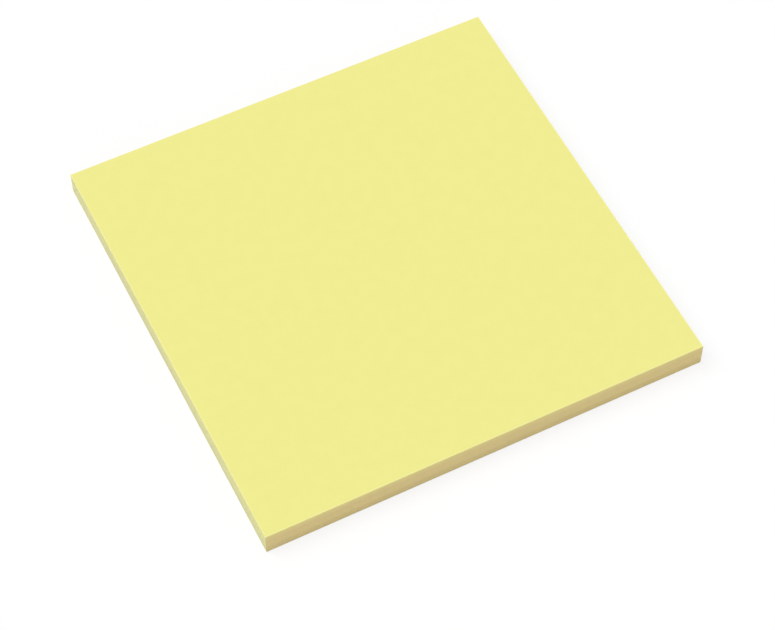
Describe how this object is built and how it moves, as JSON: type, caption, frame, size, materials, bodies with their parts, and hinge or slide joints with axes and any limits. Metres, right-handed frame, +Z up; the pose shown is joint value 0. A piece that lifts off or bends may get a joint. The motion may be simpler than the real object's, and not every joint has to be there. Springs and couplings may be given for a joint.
{
  "type": "sticky note pad",
  "caption": "Square pad of plain pale yellow self-stick notes, trimmed flush, with an adhesive band along one edge and a backing sheet underneath.",
  "frame": {"origin": "centre of the pad's footprint, on the underside of the backing sheet that it lies on", "axes": "+Z up through the notes; +Y towards the glued edge, with the free edge that is lifted first at -Y; +X to the right of a reader who writes on the top note"},
  "size_m": [0.076, 0.076, 0.0046],
  "materials": {
    "backing_paper": "satin",
    "note_paper": "matte"
  },
  "bodies": {
    "root": {"backing_sheet": "backing_paper", "note_block": "note_paper"}
  },
  "joints": []
}
